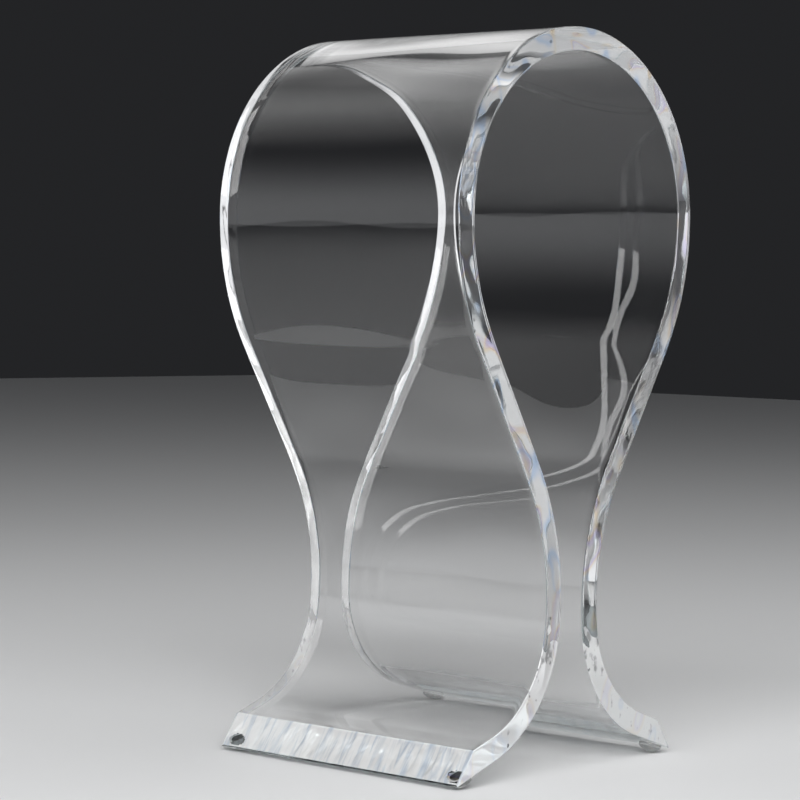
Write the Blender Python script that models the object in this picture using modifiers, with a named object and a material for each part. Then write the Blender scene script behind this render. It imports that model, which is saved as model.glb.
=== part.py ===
"""Headphone stand: one clear acrylic sheet bent into an open omega, on four clear bumpers.

The sheet starts at one foot, flares up to a narrow neck, widens into a round crown that
carries a headband, and comes down the other side as a mirror image. Both ends are cut at a
slant, and a domed self-adhesive bumper sits under each corner.

Units are metres and +Z is up. X runs across the omega and Y along its bends. The origin is
on the floor under the middle of the stand.
"""
import math

import bpy
import bmesh
from mathutils import Matrix, Vector

# Overall size
HEIGHT = 0.250
SHEET_WIDTH = 0.108
SHEET_THICKNESS = 0.008

# The bends, from the crown down. Radii are to the middle of the sheet's thickness, and each
# angle is how far the sheet turns in that bend, in degrees.
CROWN_RADIUS = 0.059
CROWN_TURN = 88.2
CHEEK_RADIUS = 0.084
CHEEK_TURN = 33.0
NECK_RADIUS = 0.088
NECK_TURN = 36.0
FLARE_RADIUS = 0.0437
FLARE_TURN = 66.4
FOOT_LENGTH = 0.010          # straight stretch after the flare, on the sheet's middle
ARC_STEP = 3.0               # degrees between neighbouring points of a bend

# The slanted end: the underside runs further out than the top does
SLANT_REACH = 0.0108
EDGE_CHAMFER = 0.0004

# Bumpers, measured square to the sheet's underside
BUMPER_RADIUS = 0.0040
BUMPER_SKIRT = 0.0004
BUMPER_HEIGHT = 0.0023
BUMPER_INSET_ALONG = 0.0060  # from the foot's lower edge to the bumper's centre
BUMPER_INSET_SIDE = 0.0042   # from the sheet's side edge to the bumper's centre
CONTACT_DEPTH = 0.00012      # how much of the dome is pressed flat on the floor
ADHESIVE_RADIUS = 0.0035
ADHESIVE_THICKNESS = 0.0002
CLEARANCE = 0.0003           # between pieces that touch

ROUND_STEPS = 32
DOME_POINTS = 7
SIDES = {"left": -1, "right": 1}
ENDS = {"front": -1, "rear": 1}

FOOT_SLOPE = math.radians(CROWN_TURN + CHEEK_TURN - NECK_TURN - FLARE_TURN)
TAPER_SLOPE = math.radians(CROWN_TURN + CHEEK_TURN)


# ---------------------------------------------------------------- heights that must meet
def dome_sphere_radius():
    """Radius of the sphere that the bumper's dome is a part of."""
    rise = BUMPER_HEIGHT - BUMPER_SKIRT
    return (BUMPER_RADIUS ** 2 + rise ** 2) / (2 * rise)


def bumper_base_height():
    """Height of the centre of the bumper's flat back above the floor."""
    sphere = dome_sphere_radius()
    return sphere - CONTACT_DEPTH - (sphere - BUMPER_HEIGHT) * math.cos(FOOT_SLOPE)


def bumper_stack():
    """What lies between the sheet's underside and the bumper's back."""
    return 2 * CLEARANCE + ADHESIVE_THICKNESS


def nose_height():
    """Height of the foot's lower outer edge above the floor."""
    underside = bumper_base_height() + bumper_stack() * math.cos(FOOT_SLOPE)
    return underside - BUMPER_INSET_ALONG * math.sin(FOOT_SLOPE)


# ---------------------------------------------------------------- the omega's centre line
def bend(points, heading, radius, turn, outward):
    """Add an arc to points. heading is how far the sheet already points down, in radians."""
    sign = 1 if outward else -1
    steps = max(2, round(turn / ARC_STEP))
    x, z = points[-1]
    centre_x = x - sign * radius * math.sin(heading)
    centre_z = z - sign * radius * math.cos(heading)
    for step in range(1, steps + 1):
        angle = heading + sign * math.radians(turn) * step / steps
        points.append((centre_x + sign * radius * math.sin(angle),
                       centre_z + sign * radius * math.cos(angle)))
    return heading + sign * math.radians(turn)


def straight(points, heading, length):
    x, z = points[-1]
    points.append((x + length * math.cos(heading), z - length * math.sin(heading)))


def half_line(taper_length):
    """Right half of the sheet's middle line, from the top of the crown to the foot's end."""
    points = [(0.0, HEIGHT - SHEET_THICKNESS / 2)]
    heading = bend(points, 0.0, CROWN_RADIUS, CROWN_TURN, True)
    heading = bend(points, heading, CHEEK_RADIUS, CHEEK_TURN, True)
    straight(points, heading, taper_length)
    heading = bend(points, heading, NECK_RADIUS, NECK_TURN, False)
    heading = bend(points, heading, FLARE_RADIUS, FLARE_TURN, False)
    straight(points, heading, FOOT_LENGTH)
    return points


def nose_of(end):
    """Lower outer edge of the foot, from the end of the middle line."""
    x, z = end
    along = Vector((math.cos(FOOT_SLOPE), -math.sin(FOOT_SLOPE)))
    down = Vector((-math.sin(FOOT_SLOPE), -math.cos(FOOT_SLOPE)))
    return Vector((x, z)) + along * SLANT_REACH + down * SHEET_THICKNESS / 2


def taper_length():
    """Length of the straight cheek that puts the feet at the height of their bumpers."""
    drop_too_short = nose_of(half_line(0.0)[-1]).y - nose_height()
    return drop_too_short / math.sin(TAPER_SLOPE)


HALF_LINE = half_line(taper_length())
FOOT_END = HALF_LINE[-1]
NOSE = nose_of(FOOT_END)


# ---------------------------------------------------------------- scene and materials
def clear_scene():
    for item in list(bpy.data.objects):
        bpy.data.objects.remove(item, do_unlink=True)


def new_collection(name):
    collection = bpy.data.collections.new(name)
    bpy.context.scene.collection.children.link(collection)
    return collection


def clear_material(name, color, roughness, ior, transmission):
    material = bpy.data.materials.new(name)
    material.use_nodes = True
    shader = material.node_tree.nodes["Principled BSDF"]
    shader.inputs["Base Color"].default_value = (*color, 1.0)
    shader.inputs["Roughness"].default_value = roughness
    shader.inputs["Metallic"].default_value = 0.0
    shader.inputs["IOR"].default_value = ior
    shader.inputs["Transmission Weight"].default_value = transmission
    return material


def add_object(name, mesh, collection, material=None):
    item = bpy.data.objects.new(name, mesh)
    collection.objects.link(item)
    if material:
        mesh.materials.append(material)
    return item


def add_cut(item, cutter):
    cut = item.modifiers.new("cut_" + cutter.name, "BOOLEAN")
    cut.operation = "DIFFERENCE"
    cut.solver = "EXACT"
    cut.object = cutter


def box_cutter(name, size, matrix, collection):
    mesh = bpy.data.meshes.new(name)
    shape = bmesh.new()
    bmesh.ops.create_cube(shape, size=1.0)
    bmesh.ops.scale(shape, vec=size, verts=shape.verts)
    shape.to_mesh(mesh)
    shape.free()
    cutter = add_object(name, mesh, collection)
    cutter.matrix_world = matrix
    cutter.hide_render = True
    cutter.display_type = "WIRE"
    return cutter


# ---------------------------------------------------------------- the bent sheet
def end_cutter(side_name, side, collection):
    """A block whose inner face is the slanted end of one foot."""
    size = Vector((0.04, SHEET_WIDTH + 0.02, 0.06))
    end = Vector(FOOT_END)
    up = Vector((math.sin(FOOT_SLOPE), math.cos(FOOT_SLOPE)))
    top = end + up * SHEET_THICKNESS / 2
    face = (top - NOSE).normalized()
    outward = Vector((face.y, -face.x))
    centre = (top + NOSE) / 2 + outward * size.x / 2
    tilt = math.atan2(-face.x, face.y)
    place = Matrix.Translation((side * centre.x, 0, centre.y))
    turn = Matrix.Rotation(-side * tilt, 4, "Y")
    return box_cutter(side_name + "_end_cutter", size, place @ turn, collection)


def build_frame(parts, cutters, material):
    spare = SLANT_REACH * 2
    right = list(HALF_LINE)
    straight(right, FOOT_SLOPE, spare)
    left = [(-x, z) for x, z in reversed(right[1:])]
    mesh = bpy.data.meshes.new("omega_frame")
    shape = bmesh.new()
    rows = []
    for x, z in left + right:
        rows.append([shape.verts.new((x, y * SHEET_WIDTH / 2, z)) for y in (-1, 1)])
    for near, far in zip(rows, rows[1:]):
        shape.faces.new((near[0], far[0], far[1], near[1]))
    shape.to_mesh(mesh)
    shape.free()
    frame = add_object("omega_frame", mesh, parts, material)

    sheet = frame.modifiers.new("sheet", "SOLIDIFY")
    sheet.thickness = SHEET_THICKNESS
    sheet.offset = 0.0
    sheet.use_even_offset = True
    for side_name, side in SIDES.items():
        add_cut(frame, end_cutter(side_name, side, cutters))
    edges = frame.modifiers.new("edges", "BEVEL")
    edges.width = EDGE_CHAMFER
    edges.segments = 1
    edges.limit_method = "ANGLE"
    edges.angle_limit = math.radians(40)
    mesh.shade_smooth()
    return frame


# ---------------------------------------------------------------- bumpers and their adhesive
def underside_place(side, end):
    """Local frame on the underside at a corner: -Z points away from the sheet."""
    inward = Vector((-math.cos(FOOT_SLOPE), math.sin(FOOT_SLOPE)))
    spot = NOSE + inward * BUMPER_INSET_ALONG
    y = end * (SHEET_WIDTH / 2 - BUMPER_INSET_SIDE)
    place = Matrix.Translation((side * spot.x, y, spot.y))
    return place @ Matrix.Rotation(side * FOOT_SLOPE, 4, "Y")


def turned_object(name, profile, matrix, collection, material):
    """A solid of revolution about local Z. profile runs from the top down its outer side."""
    mesh = bpy.data.meshes.new(name)
    shape = bmesh.new()
    verts = [shape.verts.new((radius, 0, z)) for radius, z in profile]
    for first, second in zip(verts, verts[1:]):
        shape.edges.new((first, second))
    shape.to_mesh(mesh)
    shape.free()
    item = add_object(name, mesh, collection, material)
    item.matrix_world = matrix
    turn = item.modifiers.new("turn", "SCREW")
    turn.angle = math.radians(360)
    turn.steps = ROUND_STEPS
    turn.render_steps = ROUND_STEPS
    turn.use_merge_vertices = True
    turn.merge_threshold = 0.00001
    turn.use_smooth_shade = True
    return item


def dome_profile():
    sphere = dome_sphere_radius()
    start = math.asin(BUMPER_RADIUS / sphere)
    profile = [(0.0, 0.0), (BUMPER_RADIUS, 0.0)]
    for step in range(DOME_POINTS + 1):
        angle = start * (1 - step / DOME_POINTS)
        profile.append((sphere * math.sin(angle),
                        sphere - BUMPER_HEIGHT - sphere * math.cos(angle)))
    return profile


def build_bumper(corner, side, end, parts, floor_cutter, material):
    back = Matrix.Translation((0, 0, -bumper_stack()))
    place = underside_place(side, end) @ back
    bumper = turned_object(corner + "_bumper", dome_profile(), place, parts, material)
    add_cut(bumper, floor_cutter)


def build_adhesive(corner, side, end, parts, material):
    top = -CLEARANCE
    bottom = top - ADHESIVE_THICKNESS
    profile = [(0.0, top), (ADHESIVE_RADIUS, top), (ADHESIVE_RADIUS, bottom), (0.0, bottom)]
    place = underside_place(side, end)
    turned_object(corner + "_adhesive", profile, place, parts, material)


def main():
    clear_scene()
    parts = new_collection("headphone_stand")
    cutters = new_collection("cutters")
    acrylic = clear_material("clear_acrylic", (0.96, 0.98, 0.98), 0.02, 1.49, 1.0)
    rubber = clear_material("clear_polyurethane", (0.90, 0.91, 0.90), 0.18, 1.50, 0.9)
    glue = clear_material("clear_adhesive", (0.62, 0.64, 0.64), 0.35, 1.47, 0.6)

    build_frame(parts, cutters, acrylic)
    floor_size = Vector((0.2, 0.2, 0.01))
    below = Matrix.Translation((0, 0, -floor_size.z / 2))
    floor_cutter = box_cutter("floor_cutter", floor_size, below, cutters)
    for end_name, end in ENDS.items():
        for side_name, side in SIDES.items():
            corner = end_name + "_" + side_name
            build_bumper(corner, side, end, parts, floor_cutter, rubber)
            build_adhesive(corner, side, end, parts, glue)


main()
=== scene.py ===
"""Looks of the headphone stand: clear bent acrylic with sawn ends, on clear domed bumpers.

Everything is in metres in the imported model's frame: X across the omega, Y along its bends,
+Z up, with the floor at z = 0.
"""
import math

import bmesh
import bpy
import numpy as np
from mathutils import Matrix, Vector


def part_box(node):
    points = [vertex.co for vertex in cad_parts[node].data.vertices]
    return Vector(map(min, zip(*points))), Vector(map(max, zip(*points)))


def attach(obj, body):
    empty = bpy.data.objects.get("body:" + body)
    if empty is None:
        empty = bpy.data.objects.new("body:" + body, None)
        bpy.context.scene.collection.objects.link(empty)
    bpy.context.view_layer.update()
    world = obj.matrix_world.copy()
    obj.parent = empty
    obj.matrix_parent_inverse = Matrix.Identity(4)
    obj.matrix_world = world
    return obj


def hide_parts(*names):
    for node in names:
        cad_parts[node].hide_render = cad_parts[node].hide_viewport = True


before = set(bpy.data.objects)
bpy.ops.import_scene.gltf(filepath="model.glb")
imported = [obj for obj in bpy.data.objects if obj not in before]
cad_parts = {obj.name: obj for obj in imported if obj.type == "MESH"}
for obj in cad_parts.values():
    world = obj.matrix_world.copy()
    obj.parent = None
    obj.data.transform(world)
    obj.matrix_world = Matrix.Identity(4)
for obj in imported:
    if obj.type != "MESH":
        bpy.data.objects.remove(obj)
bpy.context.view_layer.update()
SHEET_LOW, SHEET_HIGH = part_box("omega_frame")

MM = 0.001

# ---------------------------------------------------------------- the omega, as in the CAD
HEIGHT = SHEET_HIGH.z
SHEET_WIDTH = SHEET_HIGH.y - SHEET_LOW.y
SHEET_THICKNESS = 8 * MM
CROWN_RADIUS, CROWN_TURN = 59 * MM, 88.2
CHEEK_RADIUS, CHEEK_TURN = 84 * MM, 33.0
NECK_RADIUS, NECK_TURN = 88 * MM, 36.0
FLARE_RADIUS, FLARE_TURN = 43.7 * MM, 66.4
FOOT_LENGTH = 10 * MM
SLANT_REACH = 10.8 * MM
CAD_CHAMFER = 0.4 * MM
FOOT_SLOPE = math.radians(CROWN_TURN + CHEEK_TURN - NECK_TURN - FLARE_TURN)
TAPER_SLOPE = math.radians(CROWN_TURN + CHEEK_TURN)
NOSE_HEIGHT = SHEET_LOW.z - CAD_CHAMFER * math.sin(FOOT_SLOPE)

# ---------------------------------------------------------------- bumpers, as in the CAD
BUMPER_RADIUS = 4.0 * MM
BUMPER_SKIRT = 0.4 * MM
BUMPER_HEIGHT = 2.3 * MM
BUMPER_STACK = 0.8 * MM
BUMPER_INSET_ALONG = 6.0 * MM
BUMPER_INSET_SIDE = 4.2 * MM
ADHESIVE_RADIUS = 3.5 * MM
SIDES = {"left": -1, "right": 1}
ENDS = {"front": -1, "rear": 1}

# ---------------------------------------------------------------- camera
VIEW_AZIMUTH = math.radians(-48.46)
VIEW_ELEVATION = math.radians(2.24)
VIEW_ROLL = math.radians(1.14)
VIEW_DISTANCE = 0.9607
VIEW_LENS = 123.9
SENSOR = 36.0
AIM_HEIGHT = 0.1160
AIM_RIGHT = -18.7 * MM
AIM_UP = 7.0 * MM


def add_camera():
    """A long lens from the front left, a little above the surface, with a slight roll."""
    back = Vector((math.sin(VIEW_AZIMUTH) * math.cos(VIEW_ELEVATION),
                   -math.cos(VIEW_AZIMUTH) * math.cos(VIEW_ELEVATION),
                   math.sin(VIEW_ELEVATION)))
    right = (-back).cross(Vector((0, 0, 1))).normalized()
    up = right.cross(-back)
    right, up = (right * math.cos(VIEW_ROLL) + up * math.sin(VIEW_ROLL),
                 up * math.cos(VIEW_ROLL) - right * math.sin(VIEW_ROLL))
    aim = Vector((0, 0, AIM_HEIGHT)) + right * AIM_RIGHT + up * AIM_UP
    turn = Matrix((right, up, back)).transposed().to_4x4()
    data = bpy.data.cameras.new("camera")
    data.lens = VIEW_LENS
    data.sensor_width = SENSOR
    data.clip_start = 0.01
    camera = bpy.data.objects.new("camera", data)
    bpy.context.scene.collection.objects.link(camera)
    camera.matrix_world = Matrix.Translation(aim + back * VIEW_DISTANCE) @ turn
    bpy.context.scene.camera = camera


# ---------------------------------------------------------------- centre line
class CentreLine:
    """Right half of the sheet's middle line as a function of the length along it."""

    def __init__(self):
        self.pieces = []
        self.length = 0.0
        self.point = np.array([0.0, HEIGHT - SHEET_THICKNESS / 2])
        self.heading = 0.0
        self.bend(CROWN_RADIUS, CROWN_TURN, 1)
        self.bend(CHEEK_RADIUS, CHEEK_TURN, 1)
        self.straight(self.taper_length())
        self.bend(NECK_RADIUS, NECK_TURN, -1)
        self.bend(FLARE_RADIUS, FLARE_TURN, -1)
        self.straight(FOOT_LENGTH)

    def bend(self, radius, turn, sign):
        angle = math.radians(turn)
        start = self.heading
        centre = self.point - sign * radius * np.array([math.sin(start), math.cos(start)])
        self.pieces.append(("bend", self.length, centre, radius, start, sign))
        self.heading += sign * angle
        end = np.array([math.sin(self.heading), math.cos(self.heading)])
        self.point = centre + sign * radius * end
        self.length += radius * angle

    def straight(self, length):
        self.pieces.append(("straight", self.length, self.point, 0, self.heading, 0))
        along = np.array([math.cos(self.heading), -math.sin(self.heading)])
        self.point = self.point + along * length
        self.length += length

    def taper_length(self):
        """The straight that brings the feet's lower edge to its height over the floor."""
        def drop(radius, start, turn, sign):
            end = start + sign * math.radians(turn)
            return sign * radius * (math.cos(start) - math.cos(end))
        flare_start = TAPER_SLOPE - math.radians(NECK_TURN)
        below = drop(NECK_RADIUS, TAPER_SLOPE, NECK_TURN, -1)
        below += drop(FLARE_RADIUS, flare_start, FLARE_TURN, -1)
        below += (FOOT_LENGTH + SLANT_REACH) * math.sin(FOOT_SLOPE)
        below += SHEET_THICKNESS / 2 * math.cos(FOOT_SLOPE)
        return (self.point[1] - below - NOSE_HEIGHT) / math.sin(TAPER_SLOPE)

    def at(self, length):
        """Position and outward normal, each as arrays of (x, z)."""
        length = np.asarray(length, float)
        place = np.zeros(length.shape + (2,))
        normal = np.zeros(length.shape + (2,))
        for kind, start, anchor, radius, heading, sign in self.pieces:
            here = length >= start - 1e-12
            travelled = (length - start)[here]
            if kind == "bend":
                angle = heading + sign * travelled / radius
                facing = np.stack([np.sin(angle), np.cos(angle)], -1)
                place[here] = anchor + sign * radius * facing
            else:
                angle = np.full(travelled.shape, heading)
                facing = np.stack([np.sin(angle), np.cos(angle)], -1)
                along = np.array([math.cos(heading), -math.sin(heading)])
                place[here] = anchor + travelled[:, None] * along
            normal[here] = facing
        return place, normal


LINE = CentreLine()
NOSE = LINE.point + SLANT_REACH * np.array([math.cos(FOOT_SLOPE), -math.sin(FOOT_SLOPE)])
NOSE = NOSE - SHEET_THICKNESS / 2 * np.array([math.sin(FOOT_SLOPE), math.cos(FOOT_SLOPE)])


def waves(u, v, length_u, length_v, seed, count=7):
    """Smooth unevenness of about -1 to 1 over a surface: slanted sine waves of mixed length."""
    rng = np.random.default_rng(seed)
    total = np.zeros(np.broadcast(u, v).shape)
    for _ in range(count):
        rate_u = 2 * math.pi / (length_u * rng.uniform(0.7, 1.6))
        rate_v = 2 * math.pi / (length_v * rng.uniform(0.7, 1.6)) * rng.choice([-1, 1])
        total = total + np.sin(rate_u * u + rate_v * v + rng.uniform(0, 2 * math.pi))
    return total / math.sqrt(count)


# ---------------------------------------------------------------- the bent sheet's surface
STATION_STEP = 1.8 * MM         # between neighbouring cross-sections
ARRIS_RADIUS = 0.35 * MM        # rounding between a face and a cut edge
FACE_POINTS = 46
EDGE_POINTS = 11
CORNER_POINTS = 3
CURVATURE_POINTS = 4001

# unevenness: how high each kind of wave is, and its lengths along the sheet and across it
SHEET_WAVE = 0.030 * MM
SHEET_WAVE_LENGTHS = (42 * MM, 70 * MM)
EDGE_WAVE = 0.045 * MM
EDGE_WAVE_LENGTHS = (20 * MM, 12 * MM)
EDGE_RIPPLE = 0.006 * MM
EDGE_RIPPLE_LENGTHS = (8 * MM, 9 * MM)
EDGE_WAVE_FADE = 1.2 * MM       # the waves flatten this near to the arris
EDGE_WAVE_LEFT = 0.35           # the share of the wave that is left at the arris
REAR_EDGE_SHIFT = 400 * MM      # keeps the two cut edges from waving alike
EDGE_FLARE = 1.6 * MM           # bending squeezes the inner side out and draws the outer side in

# the cut edges are matt on the flares, up to an uneven border
MATT_LENGTH = 56 * MM
MATT_BORDER = 4 * MM
MATT_BORDER_LENGTHS = (11 * MM, 22 * MM)
BORDER_CLEARANCE = 0.08         # least distance from a grid point, as a share of the grid's step

# the sawn ends
END_COLUMNS_PER_POINT = 4
END_ROWS = 22
END_GRID_MARGIN = 0.55 * MM
SAW_WAVE = 0.150 * MM
SAW_WAVE_FADE = 1.5 * MM
SAW_COARSE_LENGTHS = (5.2 * MM, 40 * MM)
SAW_FINE_LENGTHS = (2.2 * MM, 30 * MM)
CLEAR_SPOT_SHIFT = -1.8 * MM
CLEAR_SPOT_HEIGHT = 3.6 * MM
CLEAR_SPOT_WIDTH = 7.0 * MM
CLEAR_SPOT_RISE = 4.4 * MM
SHEET_SLOT, EDGE_SLOT, SAWN_SLOT, MATT_SLOT = 0, 1, 2, 3


def section():
    """Points (y, n) round the sheet's rounded section, and whether each is on a cut edge."""
    half_y = SHEET_WIDTH / 2
    half_n = SHEET_THICKNESS / 2
    flat_y = half_y - ARRIS_RADIUS
    flat_n = half_n - ARRIS_RADIUS
    ys = np.linspace(-flat_y, flat_y, FACE_POINTS)
    ns = np.linspace(flat_n, -flat_n, EDGE_POINTS)
    points, edge = [], []

    def corner(sign_y, sign_n, first_angle):
        for k in range(1, CORNER_POINTS + 1):
            angle = first_angle - math.pi / 2 * k / (CORNER_POINTS + 1)
            points.append((sign_y * flat_y + ARRIS_RADIUS * math.cos(angle),
                           sign_n * flat_n + ARRIS_RADIUS * math.sin(angle)))
            edge.append(True)

    for y in ys:
        points.append((y, half_n))
        edge.append(False)
    corner(1, 1, math.pi / 2)
    for n in ns:
        points.append((half_y, n))
        edge.append(True)
    corner(1, -1, 0.0)
    for y in ys[::-1]:
        points.append((y, -half_n))
        edge.append(False)
    corner(-1, -1, -math.pi / 2)
    for n in ns[::-1]:
        points.append((-half_y, n))
        edge.append(True)
    corner(-1, 1, math.pi)
    return np.array(points), np.array(edge)


def smooth_curvature(s):
    """How sharply the sheet bends at s, positive round the crown, eased over two thicknesses."""
    reach = np.linspace(0, LINE.length, CURVATURE_POINTS)
    bends = np.zeros_like(reach)
    for kind, start, _, radius, _, sign in LINE.pieces:
        bends[reach >= start] = sign / radius if kind == "bend" else 0.0
    window = round(2 * SHEET_THICKNESS / (reach[1] - reach[0]))
    padded = np.concatenate([bends[window:0:-1], bends, np.full(window, bends[-1])])
    hill = np.hanning(window)
    eased = np.convolve(padded, hill / hill.sum(), "same")[window:window + len(reach)]
    return np.interp(np.abs(s), reach, eased)


def sheet_rows(s, ring):
    """Positions on the sheet's skin for each distance in s and each point of the section."""
    y, n = ring[:, 0], ring[:, 1]
    s = np.asarray(s, float)[:, None] * np.ones(len(ring))
    depth = 0.5 - n / SHEET_THICKNESS          # 0 on the outer face, 1 on the inner face
    in_foot = np.clip((np.abs(s) - (LINE.length - FOOT_LENGTH)) / FOOT_LENGTH, 0, 1)
    place, normal = LINE.at(np.abs(s) + in_foot * depth * SLANT_REACH)
    side = np.where(s < 0, -1.0, 1.0)
    on_face = np.abs(n) > 0.9 * SHEET_THICKNESS / 2
    offset = n + np.sign(n) * waves(s, y, *SHEET_WAVE_LENGTHS, 11) * SHEET_WAVE * on_face
    end_y = np.sign(y) * (np.abs(y) > SHEET_WIDTH / 2 - 2 * ARRIS_RADIUS)
    inside = np.clip((SHEET_THICKNESS / 2 - np.abs(n)) / EDGE_WAVE_FADE, 0, 1)
    shifted = s + np.where(y < 0, 0.0, REAR_EDGE_SHIFT)
    ripple = waves(shifted, n, *EDGE_WAVE_LENGTHS, 23) * EDGE_WAVE
    ripple = ripple * (EDGE_WAVE_LEFT + (1 - EDGE_WAVE_LEFT) * inside)
    ripple = ripple + waves(shifted, n, *EDGE_RIPPLE_LENGTHS, 31) * EDGE_RIPPLE * inside
    width = y + end_y * (ripple - EDGE_FLARE * smooth_curvature(s) * n)
    return np.stack([side * (place[..., 0] + offset * normal[..., 0]), width,
                     place[..., 1] + offset * normal[..., 1]], -1)


def with_border_points(quad, cuts, verts, polished, border):
    """The quad's outline, with a vertex wherever the border of the matt stretch crosses it.

    cuts says which of the quad's four sides may be crossed. polished holds, for each grid point,
    how far it is beyond the border, and border keeps the vertices made so far, by side.
    """
    outline = []
    for index, cut in enumerate(cuts):
        a, b = quad[index], quad[(index + 1) % 4]
        outline.append(a)
        if cut and polished[a] * polished[b] < 0:
            pair = (min(a, b), max(a, b))
            if pair not in border:
                low, high = np.array(verts[pair[0]]), np.array(verts[pair[1]])
                part = polished[pair[0]] / (polished[pair[0]] - polished[pair[1]])
                border[pair] = len(verts)
                part = min(max(part, BORDER_CLEARANCE), 1 - BORDER_CLEARANCE)
                verts.append(tuple(low + (high - low) * part))
            outline.append(border[pair])
    return outline


def add_split_face(faces, slots, outline, polished):
    """Add a face of a cut edge, split in two where the border of the matt stretch crosses it."""
    first_border_point = len(polished)
    crossings = [i for i, v in enumerate(outline) if v >= first_border_point]
    if len(crossings) == 2:
        first, second = crossings
        parts = [outline[first:second + 1], outline[second:] + outline[:first + 1]]
    else:
        parts = [outline]
    for part in parts:
        beyond_border = sum(polished[v] for v in part if v < first_border_point)
        faces.append(part)
        slots.append(EDGE_SLOT if beyond_border > 0 else MATT_SLOT)


def beyond_matt(along, ring):
    """How far each grid point lies beyond the matt stretch's border, negative where it's matt."""
    to_end = LINE.length - np.abs(along)[:, None]
    across = 3 * ring[:, 1] + 5 * ring[:, 0]   # slants the border, unlike at the two edges
    unevenness = waves(along[:, None], across, *MATT_BORDER_LENGTHS, 61)
    return (to_end - MATT_LENGTH - MATT_BORDER * unevenness).reshape(-1)


def build_sheet():
    """The whole strip as one closed mesh: rows of the section from end to end, and two ends."""
    ring, on_edge = section()
    count = len(ring)
    last_station = LINE.length - ARRIS_RADIUS
    stations = round(2 * last_station / STATION_STEP)
    along = np.linspace(-last_station, last_station, stations + 1)
    coords = sheet_rows(along, ring)
    verts = [tuple(p) for p in coords.reshape(-1, 3)]
    polished = beyond_matt(along, ring)
    near_edge = on_edge | np.roll(on_edge, 1) | np.roll(on_edge, -1)
    border = {}
    faces, slots = [], []
    for r in range(stations):
        for k in range(count):
            k2 = (k + 1) % count
            quad = (r * count + k, r * count + k2, (r + 1) * count + k2, (r + 1) * count + k)
            cut_edge = on_edge[k] or on_edge[k2]
            cuts = (cut_edge, near_edge[k2], cut_edge, near_edge[k])
            outline = with_border_points(quad, cuts, verts, polished, border)
            if cut_edge:
                add_split_face(faces, slots, outline, polished)
            else:
                faces.append(outline)
                slots.append(SHEET_SLOT)
    corners = sheet_rows([-LINE.length, LINE.length], ring)
    add_end(verts, faces, slots, coords[0], corners[0], 0)
    add_end(verts, faces, slots, coords[-1], corners[1], stations * count)
    return make_mesh("bent_sheet", verts, faces, slots)


def saw_marks(across, up):
    """Height of the saw's marks: slanted, slightly wavy furrows a few millimetres apart."""
    bent = across + 0.35 * up + 0.5 * MM * np.sin(up / (2.1 * MM) + across / (9 * MM))
    coarse = waves(bent, up, *SAW_COARSE_LENGTHS, 47)
    fine = waves(across + 0.2 * up, up, *SAW_FINE_LENGTHS, 53)
    return SAW_WAVE * (coarse + 0.25 * fine)


def is_clear(across, above_nose):
    """Whether the sawn face is clear here, as it is in an oval over each bumper."""
    for end in ENDS.values():
        spot = end * (SHEET_WIDTH / 2 - BUMPER_INSET_SIDE) + CLEAR_SPOT_SHIFT
        away = ((across - spot) / CLEAR_SPOT_WIDTH) ** 2
        away += ((above_nose - CLEAR_SPOT_HEIGHT) / CLEAR_SPOT_RISE) ** 2
        if away < 0.5 ** 2:
            return True
    return False


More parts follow.
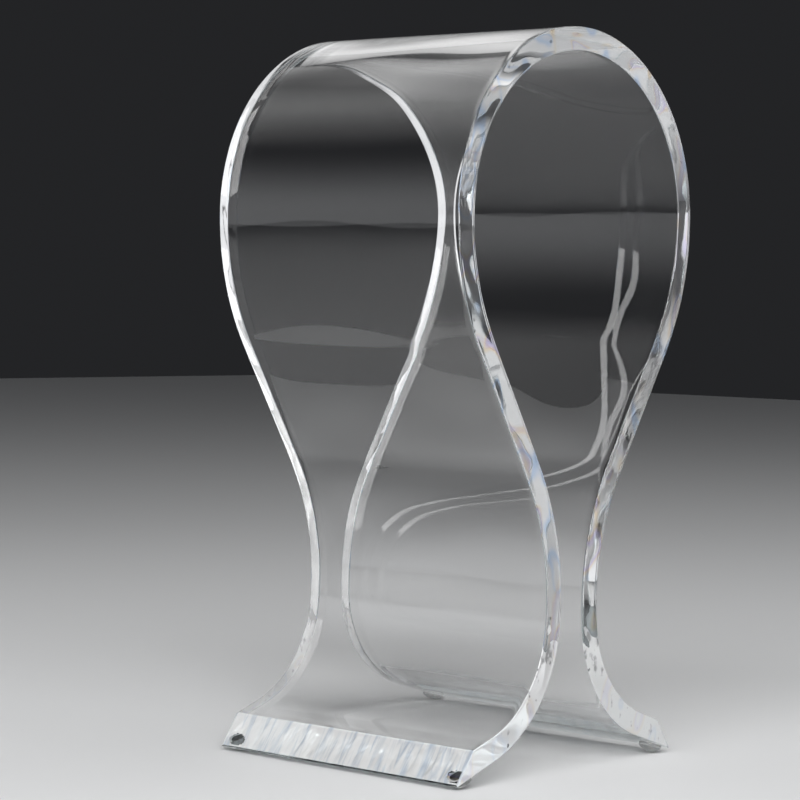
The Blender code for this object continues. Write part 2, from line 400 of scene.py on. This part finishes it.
def add_end(verts, faces, slots, ring, corner, base):
    """Close one slanted end with a rounded rim and a fine grid that carries the saw's marks."""
    count = len(ring)
    centre = corner.mean(0)
    across = np.array([0.0, 1.0, 0.0])
    top = corner[FACE_POINTS // 2]
    bottom = corner[FACE_POINTS + 2 * CORNER_POINTS + EDGE_POINTS + FACE_POINTS // 2]
    up = (top - bottom) - across * ((top - bottom) @ across)
    up = up / np.linalg.norm(up)
    outward = np.cross(across, up)
    if outward[0] * centre[0] < 0:
        outward = -outward
    u = (corner - centre) @ across
    v = (corner - centre) @ up
    half_u, half_v = np.abs(u).max(), np.abs(v).max()
    inner = centre + np.outer(u * (1 - ARRIS_RADIUS / half_u), across)
    inner = inner + np.outer(v * (1 - ARRIS_RADIUS / half_v), up)
    # the middle points of the four rounded corners are the grid's corners
    mid = CORNER_POINTS // 2
    front_top = count - 1 - mid
    rear_top = FACE_POINTS + mid
    rear_bottom = rear_top + CORNER_POINTS + EDGE_POINTS
    front_bottom = rear_bottom + CORNER_POINTS + FACE_POINTS
    rings = [base]
    for t in (1 / 3, 2 / 3, 1):
        rings.append(len(verts))
        curve = (1 - t) ** 2 * ring + 2 * t * (1 - t) * corner + t ** 2 * inner
        verts.extend(tuple(p) for p in curve)
    for a, b in zip(rings, rings[1:]):
        for k in range(count):
            k2 = (k + 1) % count
            faces.append((a + k, a + k2, b + k2, b + k))
            slots.append(EDGE_SLOT if rear_bottom <= k < front_bottom else SAWN_SLOT)
    last = rings[-1]
    top_side = [last + (front_top + k) % count for k in range((rear_top - front_top) % count + 1)]
    rear_side = [last + k for k in range(rear_top, rear_bottom + 1)]
    bottom_side = [last + k for k in range(front_bottom, rear_bottom - 1, -1)]
    front_steps = (front_top - front_bottom) % count
    front_side = [last + (front_bottom + k) % count for k in range(front_steps, -1, -1)]
    grid_u = half_u - ARRIS_RADIUS - END_GRID_MARGIN
    grid_v = half_v - ARRIS_RADIUS - END_GRID_MARGIN
    columns = (len(top_side) - 1) * END_COLUMNS_PER_POINT + 1
    us = np.linspace(-grid_u, grid_u, columns)
    vs = np.linspace(grid_v, -grid_v, END_ROWS)
    grid_across, grid_up = np.meshgrid(us, vs)
    # the marks fade out towards the rim, so that the grid meets it flat
    fade_u = np.clip((grid_u - np.abs(grid_across)) / SAW_WAVE_FADE, 0, 1)
    fade_v = np.clip((grid_v - np.abs(grid_up)) / SAW_WAVE_FADE, 0, 1)
    lift = saw_marks(grid_across, grid_up) * fade_u * fade_v
    spots = (centre + grid_across[..., None] * across + grid_up[..., None] * up
             + lift[..., None] * outward)
    start = len(verts)
    verts.extend(tuple(p) for p in spots.reshape(-1, 3))
    grid = start + np.arange(END_ROWS * columns).reshape(END_ROWS, columns)
    for i in range(END_ROWS - 1):
        for j in range(columns - 1):
            faces.append(tuple(int(q) for q in
                               (grid[i, j], grid[i, j + 1], grid[i + 1, j + 1], grid[i + 1, j])))
            middle_across = (us[j] + us[j + 1]) / 2
            above_nose = (vs[i] + vs[i + 1]) / 2 + half_v
            slots.append(EDGE_SLOT if is_clear(middle_across, above_nose) else SAWN_SLOT)
    join_lines(faces, slots, top_side, list(grid[0]), SAWN_SLOT)
    join_lines(faces, slots, bottom_side, list(grid[-1]), EDGE_SLOT)
    join_lines(faces, slots, front_side, list(grid[:, 0]), SAWN_SLOT)
    join_lines(faces, slots, rear_side, list(grid[:, -1]), SAWN_SLOT)


def join_lines(faces, slots, coarse, fine, slot):
    """Triangles between two runs of vertices that start and end side by side."""
    i = j = 0
    while i < len(coarse) - 1 or j < len(fine) - 1:
        step_coarse = (i + 1) / (len(coarse) - 1)
        step_fine = (j + 1) / (len(fine) - 1)
        if j == len(fine) - 1 or (i < len(coarse) - 1 and step_coarse < step_fine):
            faces.append((coarse[i], coarse[i + 1], int(fine[j])))
            i += 1
        else:
            faces.append((coarse[i], int(fine[j + 1]), int(fine[j])))
            j += 1
        slots.append(slot)


def make_mesh(name, verts, faces, slots):
    """A smooth-shaded object with its faces pointing out and a material slot for each face."""
    mesh = bpy.data.meshes.new(name)
    mesh.from_pydata(verts, [], faces)
    mesh.polygons.foreach_set("material_index", slots)
    mesh.shade_smooth()
    shape = bmesh.new()
    shape.from_mesh(mesh)
    bmesh.ops.recalc_face_normals(shape, faces=shape.faces)
    shape.to_mesh(mesh)
    shape.free()
    mesh.update()
    item = bpy.data.objects.new(name, mesh)
    bpy.context.scene.collection.objects.link(item)
    return item


# ---------------------------------------------------------------- bumpers and adhesive
ROUND_STEPS = 96
SHARP_ANGLE = 50                # degrees
DOME_STEPS = 24
BACK_STEPS = 6
LIP_STEPS = 3
DOME_BACK = -0.12 * MM          # the bumper's flat back, under the sheet's underside
DOME_LIP = 0.18 * MM            # rounding at the back's rim
FILM_TOP = 0.02 * MM
FILM_BOTTOM = -0.10 * MM
FILM_STEPS = 8
# the adhesive's outer ring, coloured as a painted highlight; inside it the film is coloured as
# painted shade
RIM_WIDTH = 1.0 * MM
FILM_SLOT, RIM_SLOT = 0, 1


def turned_piece(name, profile, matrix):
    """A closed solid of revolution. profile runs from the axis at the top to the axis below."""
    mesh = bpy.data.meshes.new(name)
    shape = bmesh.new()
    verts = [shape.verts.new((radius, 0, z)) for radius, z in profile]
    edges = [shape.edges.new(pair) for pair in zip(verts, verts[1:])]
    bmesh.ops.spin(shape, geom=verts + edges, cent=(0, 0, 0), axis=(0, 0, 1),
                   angle=2 * math.pi, steps=ROUND_STEPS, use_merge=True)
    bmesh.ops.remove_doubles(shape, verts=shape.verts, dist=1e-6)
    bmesh.ops.recalc_face_normals(shape, faces=shape.faces)
    shape.to_mesh(mesh)
    shape.free()
    mesh.transform(matrix)
    mesh.shade_smooth()
    mesh.set_sharp_from_angle(angle=math.radians(SHARP_ANGLE))
    item = bpy.data.objects.new(name, mesh)
    bpy.context.scene.collection.objects.link(item)
    return item


def underside_place(side, end):
    """Where a bumper is stuck on: the origin on the sheet's underside, and -Z square away from it."""
    inward = np.array([-math.cos(FOOT_SLOPE), math.sin(FOOT_SLOPE)])
    spot = NOSE + inward * BUMPER_INSET_ALONG
    y = end * (SHEET_WIDTH / 2 - BUMPER_INSET_SIDE)
    place = Matrix.Translation((side * spot[0], y, spot[1]))
    return place @ Matrix.Rotation(side * FOOT_SLOPE, 4, "Y")


def dome_profile():
    """Radius and height from the middle of the back, round the lip and over the dome."""
    rise = BUMPER_HEIGHT - BUMPER_SKIRT
    sphere = (BUMPER_RADIUS ** 2 + rise ** 2) / (2 * rise)
    dome_angle = math.asin(BUMPER_RADIUS / sphere)
    profile = [(0.0, DOME_BACK)]
    for k in range(1, BACK_STEPS):
        profile.append((BUMPER_RADIUS * k / BACK_STEPS, DOME_BACK))
    profile.append((BUMPER_RADIUS - DOME_LIP, DOME_BACK))
    for k in range(1, LIP_STEPS + 1):
        angle = math.pi / 2 * (1 - k / LIP_STEPS)
        profile.append((BUMPER_RADIUS - DOME_LIP + DOME_LIP * math.cos(angle),
                        DOME_BACK - DOME_LIP + DOME_LIP * math.sin(angle)))
    centre = sphere - BUMPER_HEIGHT - BUMPER_STACK
    for k in range(DOME_STEPS + 1):
        angle = dome_angle * (1 - k / DOME_STEPS)
        profile.append((sphere * math.sin(angle), centre - sphere * math.cos(angle)))
    return profile


def film_profile():
    """Radius and height round the flat adhesive layer, from the middle of its top."""
    radii = [ADHESIVE_RADIUS * k / FILM_STEPS for k in range(FILM_STEPS + 1)]
    top = [(radius, FILM_TOP) for radius in radii]
    return top + [(radius, FILM_BOTTOM) for radius in radii[::-1]]


def flatten_on_floor(item):
    """The weight of the stand presses each dome flat where it meets the floor."""
    for vertex in item.data.vertices:
        vertex.co.z = max(vertex.co.z, 0.0)


def build_corner(end_name, end, side_name, side):
    """One bumper and its adhesive layer, whose outer ring is coloured as a painted highlight and
    whose middle as painted shade.
    """
    corner = end_name + "_" + side_name
    place = underside_place(side, end)
    bumper = turned_piece(corner + "_dome", dome_profile(), place)
    flatten_on_floor(bumper)
    adhesive = turned_piece(corner + "_film", film_profile(), place)
    inverse = place.inverted()
    # the outer ring takes the painted highlight, the middle the painted shade
    for polygon in adhesive.data.polygons:
        from_axis = (inverse @ polygon.center).xy.length
        on_rim = from_axis > ADHESIVE_RADIUS - RIM_WIDTH
        polygon.material_index = RIM_SLOT if on_rim else FILM_SLOT
    return corner, bumper, adhesive


# ---------------------------------------------------------------- materials
MIX_COLOUR_A, MIX_COLOUR_B, MIX_COLOUR_RESULT = 6, 7, 2     # sockets of a Mix node for colours


def new_material(name):
    material = bpy.data.materials.new(name)
    material.use_nodes = True
    tree = material.node_tree
    shader = tree.nodes["Principled BSDF"]
    return material, tree, shader


def node(tree, kind, **values):
    """A new node, with each value set on the input or the property of that name."""
    made = tree.nodes.new(kind)
    for key, value in values.items():
        if key in made.inputs:
            made.inputs[key].default_value = value
        else:
            setattr(made, key, value)
    return made


def ramp(tree, source, stops):
    """source, with two of its values mapped to new ones, straight between and level beyond."""
    made = node(tree, "ShaderNodeMapRange")
    (low, to_low), (high, to_high) = stops
    made.inputs["From Min"].default_value = low
    made.inputs["From Max"].default_value = high
    made.inputs["To Min"].default_value = to_low
    made.inputs["To Max"].default_value = to_high
    tree.links.new(source, made.inputs["Value"])
    return made.outputs["Result"]


def math_node(tree, operation, first, second):
    """A Math node on one socket and either another socket or a number."""
    made = node(tree, "ShaderNodeMath", operation=operation)
    tree.links.new(first, made.inputs[0])
    if isinstance(second, float):
        made.inputs[1].default_value = second
    else:
        tree.links.new(second, made.inputs[1])
    return made.outputs[0]


def colour_ramp(tree, source, stops):
    """source turned into colours. stops are (position, colour) from low to high."""
    made = node(tree, "ShaderNodeValToRGB")
    elements = made.color_ramp.elements
    for position, _ in stops[2:]:
        elements.new(position)
    for element, (position, colour) in zip(elements, stops):
        element.position = position
        element.color = (*colour, 1)
    tree.links.new(source, made.inputs["Fac"])
    return made.outputs["Color"]


def mix_colours(tree, factor, first, second):
    """first where factor is 0 and second where it is 1; each is a socket or a colour."""
    made = node(tree, "ShaderNodeMix", data_type="RGBA")
    tree.links.new(factor, made.inputs["Factor"])
    for index, colour in ((MIX_COLOUR_A, first), (MIX_COLOUR_B, second)):
        if isinstance(colour, tuple):
            made.inputs[index].default_value = (*colour, 1)
        else:
            tree.links.new(colour, made.inputs[index])
    return made.outputs[MIX_COLOUR_RESULT]


def scaled_coordinates(tree, scale):
    place = node(tree, "ShaderNodeTexCoord")
    mapping = node(tree, "ShaderNodeMapping")
    mapping.inputs["Scale"].default_value = scale
    tree.links.new(place.outputs["Object"], mapping.inputs["Vector"])
    return mapping.outputs["Vector"]


def noise(tree, scale, detail, roughness=0.5, stretch=(1, 1, 1), distortion=0.0):
    made = node(tree, "ShaderNodeTexNoise")
    made.inputs["Scale"].default_value = scale
    made.inputs["Detail"].default_value = detail
    made.inputs["Roughness"].default_value = roughness
    made.inputs["Distortion"].default_value = distortion
    tree.links.new(scaled_coordinates(tree, stretch), made.inputs["Vector"])
    return made.outputs["Fac"]


def bump(tree, shader, height, distance, strength):
    made = node(tree, "ShaderNodeBump")
    made.inputs["Distance"].default_value = distance
    made.inputs["Strength"].default_value = strength
    tree.links.new(height, made.inputs["Height"])
    tree.links.new(made.outputs["Normal"], shader.inputs["Normal"])


ACRYLIC_IOR = 1.491
ACRYLIC_TINT = (0.62, 0.74, 0.76, 1.0)
ACRYLIC_DENSITY = 0.5
WHITE = (1, 1, 1)
# colours of the painted glints on the cut edges, standing in for dispersed light
PAINTED_GLINT_BLUE = (0.36, 0.58, 1)
PAINTED_GLINT_AMBER = (1, 0.70, 0.36)
PAINTED_GLINT_VIOLET = (0.58, 0.50, 1)
SPECK_COLOUR = (0.04, 0.04, 0.045)


def acrylic(name):
    """Clear cast acrylic. Its cut faces share the sheet's body, and differ in their surface."""
    material, tree, shader = new_material(name)
    shader.inputs["Base Color"].default_value = (1.0, 1.0, 1.0, 1.0)
    shader.inputs["IOR"].default_value = ACRYLIC_IOR
    shader.inputs["Transmission Weight"].default_value = 1.0
    body = node(tree, "ShaderNodeVolumeAbsorption")
    body.inputs["Color"].default_value = ACRYLIC_TINT
    body.inputs["Density"].default_value = ACRYLIC_DENSITY
    output = tree.nodes["Material Output"]
    tree.links.new(body.outputs["Volume"], output.inputs["Volume"])
    return material, tree, shader


def sheet_material():
    """Glossy cast faces: almost mirror smooth, with faint smears where hands have been."""
    material, tree, shader = acrylic("acrylic_face")
    smear = noise(tree, scale=38.0, detail=4.0, roughness=0.6, stretch=(1, 0.6, 1))
    tree.links.new(ramp(tree, smear, ((0.45, 0.004), (0.75, 0.05))), shader.inputs["Roughness"])
    peel = noise(tree, scale=160.0, detail=2.0)
    bump(tree, shader, peel, distance=0.002 * MM, strength=0.4)
    return material


def specks(tree, share):
    """A mask of uneven specks about a millimetre across, in the given share of 3.6 mm cells."""
    cells = node(tree, "ShaderNodeTexVoronoi")
    cells.inputs["Scale"].default_value = 280.0
    tree.links.new(scaled_coordinates(tree, (1, 1, 1)), cells.inputs["Vector"])
    chance = node(tree, "ShaderNodeSeparateColor")
    tree.links.new(cells.outputs["Color"], chance.inputs["Color"])
    chosen = ramp(tree, chance.outputs["Red"], ((1 - share, 0.0), (1.02 - share, 1.0)))
    uneven = math_node(tree, "MULTIPLY", noise(tree, scale=900.0, detail=2.0), 0.2)
    distance = math_node(tree, "ADD", cells.outputs["Distance"], uneven)
    inside = ramp(tree, distance, ((0.23, 0.8), (0.32, 0.0)))
    return math_node(tree, "MULTIPLY", chosen, inside)


def painted_shade_blotches(tree, low, high):
    """A mask of painted shade: dark patches a few millimetres across, setting in between two heights
    and denser higher up.
    """
    place = node(tree, "ShaderNodeTexCoord")
    height = node(tree, "ShaderNodeSeparateXYZ")
    tree.links.new(place.outputs["Object"], height.inputs[0])
    zone = ramp(tree, height.outputs["Z"], ((low, 0.0), (high, 0.20)))
    mottle = noise(tree, scale=330.0, detail=3.0, roughness=0.6, stretch=(1, 1, 0.6))
    patch = math_node(tree, "ADD", mottle, zone)
    return ramp(tree, patch, ((0.62, 0.0), (0.74, 0.62)))


def edge_material(name, transmission, roughness, painted_glint_strength, speck_share, painted_shade_heights=None):
    """Cut edges: clear, with faint painted glints of colour standing in for the acrylic's dispersion,
    and small dark specks.

    A transmission below 1 makes the edge matt and white. The last argument, where given, holds the
    two heights between which dark patches of painted shade set in, standing in for the shade of the
    clear stretch beyond the border.
    """
    material, tree, shader = acrylic(name)
    shader.inputs["Transmission Weight"].default_value = transmission
    # painted glints: thin stripes of blue, amber and violet scattered over the edge, standing in for
    # the coloured light of dispersion
    painted_glint_noise = noise(tree, scale=75.0, detail=1.0, stretch=(1.0, 0.3, 0.6))
    painted_glint_bands = ((0.0, WHITE), (0.33, WHITE), (0.36, PAINTED_GLINT_BLUE), (0.39, WHITE),
             (0.60, WHITE), (0.625, PAINTED_GLINT_AMBER), (0.65, PAINTED_GLINT_VIOLET), (0.675, WHITE))
    faint_painted_glint_bands = [(position, [1 - (1 - part) * painted_glint_strength for part in colour])
                   for position, colour in painted_glint_bands]
    colours = colour_ramp(tree, painted_glint_noise, faint_painted_glint_bands)
    marks = specks(tree, speck_share)
    # painted shade: on the matt edge, dark patches that grow denser higher up, towards the clear
    # stretch
    if painted_shade_heights is not None:
        marks = math_node(tree, "MAXIMUM", marks, painted_shade_blotches(tree, *painted_shade_heights))
    tree.links.new(mix_colours(tree, marks, colours, SPECK_COLOUR), shader.inputs["Base Color"])
    patch = noise(tree, scale=120.0, detail=4.0, roughness=0.6)
    tree.links.new(ramp(tree, patch, ((0.45, roughness[0]), (0.8, roughness[1]))),
                   shader.inputs["Roughness"])
    mark = noise(tree, scale=420.0, detail=3.0, roughness=0.55, stretch=(1.0, 0.08, 1.0))
    bump(tree, shader, mark, distance=0.02 * MM, strength=0.6)
    return material


def sawn_material():
    """Slanted ends left as the saw cut them: a frosty white with wavy marks."""
    material, tree, shader = acrylic("acrylic_sawn_end")
    shader.inputs["Transmission Weight"].default_value = 0.52
    sawn_streaks = noise(tree, scale=260.0, detail=3.0, roughness=0.6, stretch=(0.12, 1.0, 0.12),
                   distortion=1.4)
    # darker blue-grey streaks over the frosty white
    colours = colour_ramp(tree, sawn_streaks, ((0.36, (0.64, 0.71, 0.80)), (0.52, (1.0, 1.0, 0.995))))
    tree.links.new(colours, shader.inputs["Base Color"])
    patch = noise(tree, scale=240.0, detail=4.0, roughness=0.6, stretch=(0.3, 1.0, 0.3))
    tree.links.new(ramp(tree, patch, ((0.35, 0.03), (0.75, 0.15))), shader.inputs["Roughness"])
    mark = noise(tree, scale=700.0, detail=4.0, roughness=0.6, stretch=(0.15, 1.0, 0.15))
    bump(tree, shader, mark, distance=0.05 * MM, strength=0.9)
    return material


def bumper_material():
    """Soft clear polyurethane with a slight haze."""
    material, tree, shader = new_material("polyurethane")
    shader.inputs["Base Color"].default_value = (0.93, 0.94, 0.93, 1.0)
    shader.inputs["IOR"].default_value = 1.50
    shader.inputs["Transmission Weight"].default_value = 0.92
    haze = noise(tree, scale=500.0, detail=3.0)
    tree.links.new(ramp(tree, haze, ((0.3, 0.05), (0.8, 0.16))), shader.inputs["Roughness"])
    dimple = noise(tree, scale=900.0, detail=2.0)
    bump(tree, shader, dimple, distance=0.02 * MM, strength=0.5)
    return material


def painted_shade_film_material():
    """The adhesive layer, coloured dark as painted shade for the shade seen through the sheet, with
    paler patches.
    """
    material, tree, shader = new_material("adhesive_painted_shade")
    film_mottle = noise(tree, scale=650.0, detail=5.0, roughness=0.7)
    # painted shade: the film's dark stands in for the shade under the bumper; the paler patches are
    # its mottling
    colours = colour_ramp(tree, film_mottle, ((0.38, (0.055, 0.057, 0.06)), (0.72, (0.30, 0.31, 0.31))))
    tree.links.new(colours, shader.inputs["Base Color"])
    shader.inputs["Transmission Weight"].default_value = 0.3
    shader.inputs["IOR"].default_value = 1.47
    tree.links.new(ramp(tree, film_mottle, ((0.3, 0.25), (0.8, 0.5))), shader.inputs["Roughness"])
    return material


def painted_highlight_rim_material():
    """The adhesive's outer ring, near white: a painted highlight standing in for the light that each
    bumper's edge catches.
    """
    material, tree, shader = new_material("adhesive_rim_painted_highlight")
    grain = noise(tree, scale=800.0, detail=3.0)
    # painted highlight: a near-white ring standing in for the light the bumper's edge catches
    colours = colour_ramp(tree, grain, ((0.0, (0.82, 0.83, 0.84)), (1.0, (0.97, 0.97, 0.96))))
    tree.links.new(colours, shader.inputs["Base Color"])
    tree.links.new(ramp(tree, grain, ((0.3, 0.3), (0.8, 0.5))), shader.inputs["Roughness"])
    return material


# ---------------------------------------------------------------- stage and light
FLOOR_REACH = 3.0
FLOOR_DROP = 0.2 * MM
FLOOR_COLOUR = (0.70, 0.705, 0.71, 1)

BACKDROP_AHEAD = (0.748, 0.663, 0.0)            # the direction that the camera looks in
GLOW_STARTS, GLOW_FULL = 0.82, 0.20             # cosine of the angle from BACKDROP_AHEAD
GLOW_TOP, GLOW_BASE = 0.50, 0.04                # sine of the height above the horizon
ROOM_COLOUR = (0.017, 0.0175, 0.019)
GLOW_COLOUR = (0.85, 0.86, 0.88)
LIGHT_BOUNCES = 40                              # light runs a long way along the cut edges

MIDDLE = (0, 0, HEIGHT * 0.45)
FLOOR_IN_FRONT = (0.30, -0.35, 0.0)
# each softbox's name, place, aim, size, radiance, and grid angle in degrees
SOFTBOXES = (
    ("key", (-1.02, -0.74, 0.98), MIDDLE, (1.8, 1.2), 5.2, None),
    ("overhead", (0.40, -0.50, 1.35), FLOOR_IN_FRONT, (1.4, 1.0), 1.5, None),
    ("rear_top", (-0.22, 0.80, 0.95), MIDDLE, (1.3, 1.0), 0.8, 44),
    ("rear_right", (0.85, 0.95, 0.75), MIDDLE, (0.8, 0.7), 1.0, 36),
)


def add_floor():
    """A plain pale floor, a hair below the bumpers' flats."""
    mesh = bpy.data.meshes.new("floor")
    signs = ((-1, -1), (1, -1), (1, 1), (-1, 1))
    corners = [(x * FLOOR_REACH, y * FLOOR_REACH, 0) for x, y in signs]
    mesh.from_pydata(corners, [], [(0, 1, 2, 3)])
    floor = bpy.data.objects.new("floor", mesh)
    floor.location.z = -FLOOR_DROP
    bpy.context.scene.collection.objects.link(floor)
    material, tree, shader = new_material("pale_floor")
    shader.inputs["Base Color"].default_value = FLOOR_COLOUR
    shader.inputs["Roughness"].default_value = 0.60
    shader.inputs["Specular IOR Level"].default_value = 0.25
    mesh.materials.append(material)


def add_softbox(name, place, aim, size, radiance, grid):
    """A plain softbox. radiance is how bright its middle looks; a grid narrows its beam."""
    data = bpy.data.lights.new(name, "AREA")
    data.shape = "RECTANGLE"
    data.size, data.size_y = size
    data.energy = radiance * math.pi * size[0] * size[1]
    if grid is not None:
        half = math.radians(grid) / 2
        data.spread = 2 * half
        data.energy *= (math.tan(half) - half) / math.tan(half)
    light = bpy.data.objects.new(name, data)
    bpy.context.scene.collection.objects.link(light)
    light.location = place
    away = Vector(place) - Vector(aim)
    light.rotation_euler = away.to_track_quat("Z", "Y").to_euler()


def soft_step(tree, source, low, high):
    """0 below low and 1 above high, eased; low may be the larger of the two."""
    made = node(tree, "ShaderNodeMapRange", interpolation_type="SMOOTHSTEP")
    made.inputs["From Min"].default_value = low
    made.inputs["From Max"].default_value = high
    tree.links.new(source, made.inputs["Value"])
    return made.outputs["Result"]


def add_world():
    """A dim room with a soft pale glow low down all round, except beyond the object."""
    world = bpy.data.worlds.new("studio")
    world.use_nodes = True
    tree = world.node_tree
    background = tree.nodes["Background"]
    direction = node(tree, "ShaderNodeTexCoord").outputs["Generated"]
    ahead = node(tree, "ShaderNodeVectorMath", operation="DOT_PRODUCT")
    ahead.inputs[1].default_value = BACKDROP_AHEAD
    tree.links.new(direction, ahead.inputs[0])
    height = node(tree, "ShaderNodeSeparateXYZ")
    tree.links.new(direction, height.inputs[0])
    around = soft_step(tree, ahead.outputs["Value"], GLOW_STARTS, GLOW_FULL)
    low_down = soft_step(tree, height.outputs["Z"], GLOW_TOP, GLOW_BASE)
    glow = math_node(tree, "MULTIPLY", around, low_down)
    colour = mix_colours(tree, glow, ROOM_COLOUR, GLOW_COLOUR)
    tree.links.new(colour, background.inputs["Color"])
    bpy.context.scene.world = world


def main():
    """Camera, sheet, bumpers and their adhesive, floor, world and lights."""
    add_camera()
    sheet = build_sheet()
    sheet.data.materials.append(sheet_material())
    # both cut-edge materials carry painted glints of colour
    sheet.data.materials.append(edge_material(
        "acrylic_polished_edge", transmission=1.0, roughness=(0.0, 0.09), painted_glint_strength=1.0,
        speck_share=0.3))
    sheet.data.materials.append(sawn_material())
    # the matt edge also takes patches of painted shade towards its border
    sheet.data.materials.append(edge_material(
        "acrylic_matt_edge", transmission=0.55, roughness=(0.04, 0.20), painted_glint_strength=0.2,
        speck_share=0.12, painted_shade_heights=(32 * MM, 44 * MM)))
    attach(sheet, "root")
    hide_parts("omega_frame")
    # the film is coloured as painted shade, its outer ring as a painted highlight
    rubber, film, rim = bumper_material(), painted_shade_film_material(), painted_highlight_rim_material()
    for end_name, end in ENDS.items():
        for side_name, side in SIDES.items():
            corner, bumper, adhesive = build_corner(end_name, end, side_name, side)
            bumper.data.materials.append(rubber)
            adhesive.data.materials.append(film)
            adhesive.data.materials.append(rim)
            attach(bumper, "root")
            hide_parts(corner + "_bumper")
            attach(adhesive, "root")
            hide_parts(corner + "_adhesive")
    add_floor()
    add_world()
    for softbox in SOFTBOXES:
        add_softbox(*softbox)
    bpy.context.scene.view_settings.view_transform = "Standard"
    bpy.context.scene.cycles.max_bounces = LIGHT_BOUNCES
    bpy.context.scene.cycles.transmission_bounces = LIGHT_BOUNCES
    bpy.context.scene.cycles.glossy_bounces = LIGHT_BOUNCES


main()
